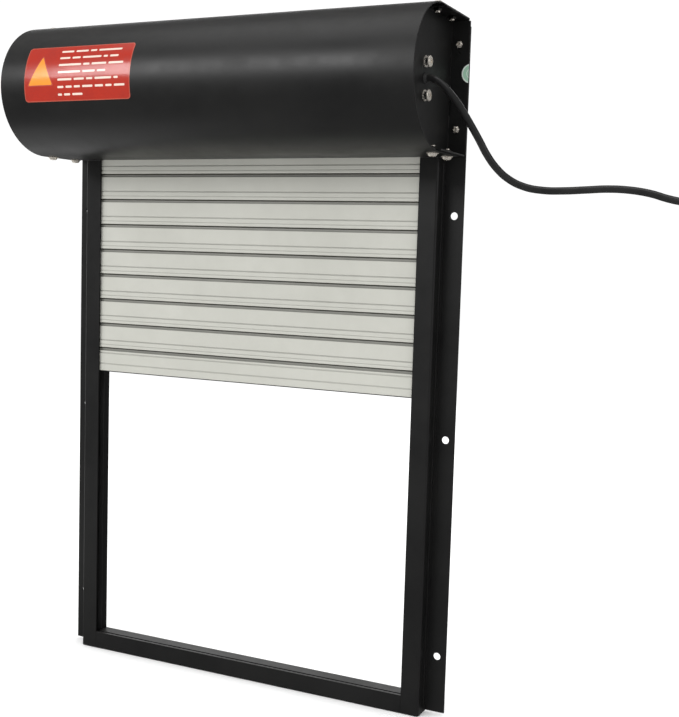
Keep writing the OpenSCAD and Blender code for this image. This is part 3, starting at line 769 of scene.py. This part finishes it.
def add_star_washers():
    washers = [
        star_washer((side * SCREW_X, y, z))
        for side in (-1, 1) for y in SCREW_Y
        for z in (COVER_LOW.z - STAR_T / 2, COVER_HIGH.z + STAR_T / 2)
    ]
    piece = join(washers, "star_washers")
    smooth(piece)
    piece.data.materials.append(MATERIALS["fastener_steel"])
    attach(piece, "frame")


# ---------- films ----------

STRIP = 2 * MM                                    # height of the strips that let a film bend
FILM_T = 0.1 * MM
INK_T = 0.02 * MM
EDGE_LINE = 0.8 * MM                              # pale line along the notice's edge
SIGN_X = (3.5 * MM, 32 * MM)                      # the triangle, from the notice's left edge
SIGN_Z = (13.5 * MM, 41 * MM)                     # and from its bottom edge
ROW_LEFT, ROW_RIGHT = 0.325, 0.955                # the rows' ends, as shares of its width
ROW_H = 1.8 * MM
ROW_MARGIN = 2.5 * MM                             # above the first row and below the last
ROWS = (                                          # widths of the dashes in each row
    (6, 6, 3, 11), (5, 4, 9, 2, 4), (11, 3, 7, 7), (11, 6, 4),
    (7, 5, 3, 8, 2), (3, 3, 3, 5, 4, 3, 5), (2, 3, 5),
)
DASH_GAP = 1.1


def flat_patch(name, left, right, low, high, corner_r, layer, thickness, material, point=False):
    """A thin flat patch in X and Z with round corners, cut into strips that can bend.

    layer is how far its back lies in front of the film's back. With point, its top
    corners meet in the middle and it is a triangle.
    """
    bpy.ops.mesh.primitive_plane_add(size=1, rotation=(math.pi / 2, 0, 0), location=(
        (left + right) / 2, -layer, (low + high) / 2
    ))
    patch = bpy.context.object
    patch.name = name
    patch.scale = (right - left, high - low, 1)
    settle(patch)
    bpy.ops.object.mode_set(mode="EDIT")
    if point:
        mesh = bmesh.from_edit_mesh(patch.data)
        for vertex in mesh.verts:
            vertex.select_set(vertex.co.z > (low + high) / 2)
        mesh.select_flush(True)
        bpy.ops.mesh.merge(type="CENTER")
    bpy.ops.mesh.select_all(action="SELECT")
    bpy.ops.mesh.bevel(offset=corner_r, segments=4, affect="VERTICES")
    strips = max(1, round((high - low) / STRIP))
    for index in range(1, strips):
        bpy.ops.mesh.select_all(action="SELECT")
        bpy.ops.mesh.bisect(
            plane_co=(0, 0, low + (high - low) * index / strips), plane_no=(0, 0, 1)
        )
    bpy.ops.object.mode_set(mode="OBJECT")
    apply_modifier(patch, "SOLIDIFY", thickness=thickness, offset=1.0)
    patch.data.materials.append(MATERIALS[material])
    return patch


def add_dashes(left, width, low, high):
    """Rows of plain dashes, which stand in for print."""
    pieces = []
    pitch = (high - low - 2 * ROW_MARGIN) / len(ROWS)
    full = max(sum(row) + DASH_GAP * (len(row) - 1) for row in ROWS)
    unit = width * (ROW_RIGHT - ROW_LEFT) / full
    for number, row in enumerate(ROWS):
        middle = high - ROW_MARGIN - (number + 0.5) * pitch
        start = left + width * ROW_LEFT
        for dash in row:
            pieces.append(flat_patch(
                "notice_dash", start, start + dash * unit, middle - ROW_H / 2, middle + ROW_H / 2,
                0.7 * MM, FILM_T + INK_T, INK_T, "notice_pale",
            ))
            start += (dash + DASH_GAP) * unit
    return pieces


def add_notice():
    """Red film with a plain triangle and rows of dashes, bent round the housing's front."""
    box_low, box_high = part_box("notice_plate")
    low = ROUND_R * math.asin((box_low.z - AXIS_Z) / ROUND_R)
    high = ROUND_R * math.asin((box_high.z - AXIS_Z) / (ROUND_R + 0.2 * MM))
    left, right = box_low.x, box_high.x
    sign_left, sign_right = left + SIGN_X[0], left + SIGN_X[1]
    sign_low, sign_high = low + SIGN_Z[0], low + SIGN_Z[1]
    pieces = [
        flat_patch("notice_film", left, right, low, high, 3 * MM, 0, FILM_T, "notice_edge"),
        flat_patch("notice_face", left + EDGE_LINE, right - EDGE_LINE,
                   low + EDGE_LINE, high - EDGE_LINE, 2.4 * MM, FILM_T, INK_T, "notice_red"),
        flat_patch("notice_sign_rim", sign_left, sign_right, sign_low, sign_high,
                   1.7 * MM, FILM_T + INK_T, INK_T, "notice_edge", point=True),
        flat_patch("notice_sign", sign_left + 1.3 * MM, sign_right - 1.3 * MM,
                   sign_low + 0.8 * MM, sign_high - 1.6 * MM,
                   1.4 * MM, FILM_T + 2 * INK_T, INK_T, "notice_orange", point=True),
    ]
    pieces += add_dashes(left, right - left, low, high)
    piece = join(pieces, "notice_film")
    apply_modifier(piece, "SIMPLE_DEFORM", deform_method="BEND", deform_axis="X",
                   angle=(high - low) / ROUND_R)
    piece.location = (0, FLAT_Y - ROUND_R, AXIS_Z)
    settle(piece)
    smooth(piece)
    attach(piece, "frame")
    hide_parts("notice_plate")


DOT_R = 8 * MM
DOT_PAST = 2 * MM                                 # its middle lies this far past the edge
DOT_INK_T = 0.03 * MM
DOT_RINGS = (                                     # share of the radius, lift of the ink, material
    (1.0, 0.0, "dot_pale"), (0.86, 0.10 * MM, "dot_green"),
    (0.5, 0.14 * MM, "dot_pale"), (0.42, 0.17 * MM, "dot_green"),
)


def add_dot():
    """Pale round film cut off at the flange's edge, with a plain ring."""
    low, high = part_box("inspection_dot")
    edge = Vector((high.x, high.y, (high.z + low.z) / 2))
    centre = edge + Vector((DOT_PAST, 0, 0))
    pieces = []
    for size, lift, material in DOT_RINGS:
        depth = DOT_INK_T if lift else FILM_T
        forward = lift + DOT_INK_T if lift else FILM_T / 2
        bpy.ops.mesh.primitive_cylinder_add(
            vertices=64, radius=DOT_R * size, depth=depth,
            location=centre - Vector((0, forward, 0)), rotation=(math.pi / 2, 0, 0),
        )
        disc = bpy.context.object
        settle(disc)
        bpy.ops.object.mode_set(mode="EDIT")
        bpy.ops.mesh.select_all(action="SELECT")
        bpy.ops.mesh.bisect(plane_co=edge, plane_no=(1, 0, 0), clear_outer=True, use_fill=True)
        bpy.ops.object.mode_set(mode="OBJECT")
        disc.data.materials.append(MATERIALS[material])
        pieces.append(disc)
    piece = join(pieces, "inspection_dot_film")
    smooth(piece)
    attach(piece, "frame")
    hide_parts("inspection_dot")


# ---------- plug, grommet and socket ----------

GROMMET_OUT = 2.5 * MM                            # how far it stands out of the end plate


def add_grommet():
    """A low rubber grommet: a neck through the plate and a domed collar outside it."""
    low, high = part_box("cable_grommet")
    centre = (low + high) / 2
    radius = (high.z - low.z) / 2
    length = high.x - low.x
    neck = length - GROMMET_OUT
    piece = turned(
        "cable_grommet_finished", (low.x, centre.y, centre.z), (1, 0, 0),
        [(0, radius - 1.2 * MM), (neck, radius - 1.2 * MM), (neck, radius - 0.7 * MM),
         (neck + 0.5 * MM, radius - 0.6 * MM), (neck + 1.0 * MM, radius - 0.9 * MM),
         (length - 0.6 * MM, radius - 1.7 * MM), (length, radius - 2.0 * MM)],
    )
    smooth(piece)
    place_piece(piece, "cable_grommet", MATERIALS["black_rubber"])


PLUG_RIBS = 4


def add_plug():
    """Round plug with grip ribs and a tapered neck."""
    low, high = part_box("cable_plug")
    centre = (low + high) / 2
    radius = (high.z - low.z) / 2
    steps = [
        (0, 3.1 * MM), (0.4 * MM, 3.5 * MM), (4 * MM, 4.6 * MM), (4.6 * MM, radius - 0.3 * MM)
    ]
    for rib in range(PLUG_RIBS):
        start = (5.0 + 2.4 * rib) * MM
        steps += [
            (start, radius), (start + 1.2 * MM, radius),
            (start + 1.5 * MM, radius - 0.6 * MM), (start + 2.1 * MM, radius - 0.6 * MM),
        ]
    steps += [(15.4 * MM, radius), (16 * MM, radius - 0.4 * MM), (16 * MM, 4.95 * MM),
              (23.4 * MM, 4.95 * MM), (24 * MM, 4.4 * MM)]
    piece = turned("cable_plug_finished", (low.x, centre.y, centre.z), (1, 0, 0), steps)
    smooth(piece)
    return place_piece(piece, "cable_plug", MATERIALS["black_plastic"])


SEAM_W = 0.8 * MM                                 # width and depth of the socket's seam
SEAM_SHARE = 0.4                                  # the base's share of the socket's depth


def add_socket():
    """The socket's box, with the seam between its base and its lid."""
    low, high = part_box("wall_socket")
    size, centre = high - low, (low + high) / 2
    seam_y = high.y - size.y * SEAM_SHARE
    piece = merge_copy("wall_socket", "wall_socket_finished")
    bpy.ops.mesh.primitive_cube_add(size=1, location=(centre.x, seam_y, centre.z))
    cutter = bpy.context.object
    cutter.scale = (size.x + 2 * SEAM_W, SEAM_W, size.z + 2 * SEAM_W)
    settle(cutter)
    bpy.ops.mesh.primitive_cube_add(size=1, location=(centre.x, seam_y, centre.z))
    core = bpy.context.object
    core.scale = (size.x - 2 * SEAM_W, 2 * SEAM_W, size.z - 2 * SEAM_W)
    settle(core)
    apply_modifier(cutter, "BOOLEAN", operation="DIFFERENCE", object=core, solver="EXACT")
    apply_modifier(piece, "BOOLEAN", operation="DIFFERENCE", object=cutter, solver="EXACT")
    bpy.data.objects.remove(core)
    bpy.data.objects.remove(cutter)
    round_edges(piece, 0.3 * MM)
    smooth(piece)
    return place_piece(piece, "wall_socket", MATERIALS[NODE_SLOT["wall_socket"]])


# ---------- the whole model ----------

EDGE = {                                          # edge radius of each finished node
    "left_rail": 0.25, "right_rail": 0.25, "sill_bar": 0.3, "cover_shell": 0.3,
    "left_end_plate": 0.4, "right_end_plate": 0.4, "back_plate": 0.3,
    "hidden_slats": 0.2, "end_slat": 0.25, "wound_slats": 0.25,
    "cover_nuts": 0.2, "motor_washers": 0.2, "motor_bushes": 0.3, "end_slat_seal": 0.4,
    "end_slat_plugs": 0.3, "slat_end_locks": 0.3, "left_guide_mouth": 0.3,
    "right_guide_mouth": 0.3, "barrel_tube": 0.2, "roll_straps": 0.08, "strap_rivets": 0.2,
    "drive_wheel": 0.4, "output_shaft": 0.4, "limit_crown": 0.3, "idler_cap": 0.4,
    "idler_pin": 0.5, "idler_bearing": 0.4, "bearing_rivets": 0.15, "motor_head": 0.5,
    "motor_tube": 0.2, "motor_gearbox": 0.4, "motor_can": 0.6, "motor_end_cap": 0.3,
    "socket_screws": 0.15, "corner_keys": 0.3,
    "left_rail_liner": 0.15, "right_rail_liner": 0.15,
}
EDGE.update({f"slat_{number}": 0.2 for number in range(1, 9)})


def faces_opening(centre, normal):
    """True for the faces of a rail that look towards the door opening."""
    return normal.x * centre.x < 0 and abs(normal.x) > 0.9


def finish_nodes():
    made = {}
    for node, width in EDGE.items():
        slot = "sill_black" if node == "sill_bar" else NODE_SLOT[node]
        material = "dark_nut" if node == "cover_nuts" else slot
        made[node] = finish_node(node, MATERIALS[material], width * MM)
        if node.startswith("slat_") and node[5:].isdigit() or node in ("end_slat", "hidden_slats"):
            shade_slat(made[node], node)
        elif node in ("left_rail", "right_rail"):
            # painted shade on the rails' faces towards the opening
            paint_faces(made[node], MATERIALS["rail_inner_shade"], faces_opening)
    return made


deselect_all()
add_camera()
cable, cable_exit, cable_length = add_cable()
add_studio()
plug = add_plug()
finished = finish_nodes()
socket = add_socket()
add_cover_screws()
add_flange_screws()
add_motor_screws()
add_star_washers()
add_grommet()
add_notice()
add_dot()
